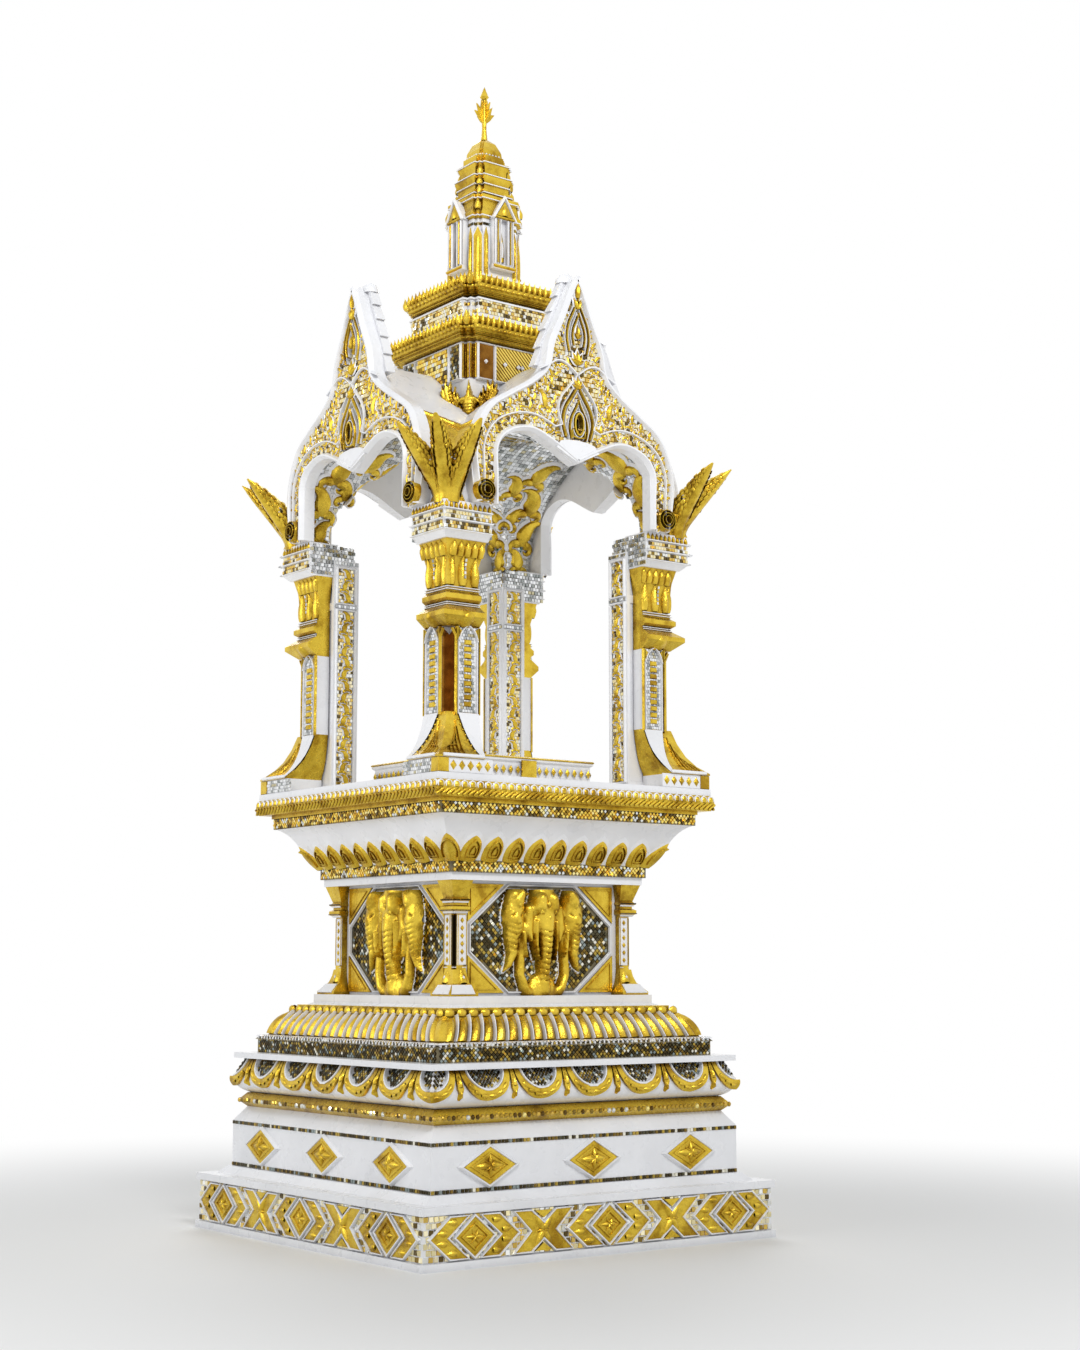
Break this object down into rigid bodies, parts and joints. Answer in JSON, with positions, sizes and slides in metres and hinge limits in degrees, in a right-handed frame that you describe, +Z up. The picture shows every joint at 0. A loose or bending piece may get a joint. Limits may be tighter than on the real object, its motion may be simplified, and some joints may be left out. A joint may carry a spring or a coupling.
{
  "type": "spirit house",
  "caption": "Tall square shrine on a moulded pedestal, with an open hall, four pointed gables and a tiered roof tower, in gold, white and mirror mosaic.",
  "frame": {"origin": "middle of the plinth's underside, on the ground", "axes": "+Z up, -Y towards the front, +X to the right"},
  "size_m": [1.032, 1.032, 2.986],
  "materials": {
    "white_paint": "gloss white paint on cast concrete",
    "gold_paint": "bright gold paint on cast concrete",
    "mirror_mosaic": "small cut mirror tiles in amber, gold and silver, set in white edges"
  },
  "bodies": {
    "root": {"abacuses": "mirror_mosaic", "back_vault": "white_paint", "base_block": "white_paint", "base_plinth": "white_paint", "block_diamonds": "gold_paint", "column_capitals": "gold_paint", "column_feet": "gold_paint", "column_plates": "mirror_mosaic", "column_rings": "gold_paint", "column_shafts": "white_paint", "cornice_petals": "gold_paint", "crown_corners": "white_paint", "dado_body": "gold_paint", "dado_cap": "white_paint", "dado_mirrors": "mirror_mosaic", "dado_pilasters": "gold_paint", "dado_slab": "white_paint", "deck": "white_paint", "deck_moulding": "gold_paint", "drum": "mirror_mosaic", "eave_crests": "gold_paint", "eaves": "gold_paint", "elephants": "gold_paint", "finial": "gold_paint", "front_vault": "white_paint", "gables": "mirror_mosaic", "garland_moulding": "white_paint", "garlands": "gold_paint", "garudas": "gold_paint", "left_vault": "white_paint", "lotus_moulding": "gold_paint", "lower_mirror_band": "mirror_mosaic", "mirror_friezes": "mirror_mosaic", "naga_heads": "gold_paint", "niche_houses": "white_paint", "pedestal": "white_paint", "petal_cornice": "white_paint", "piers": "mirror_mosaic", "plinth_lozenges": "gold_paint", "prang": "gold_paint", "prang_cap": "gold_paint", "right_vault": "white_paint", "rod_moulding": "gold_paint", "roof_neck": "mirror_mosaic", "tower": "white_paint"}
  },
  "joints": []
}
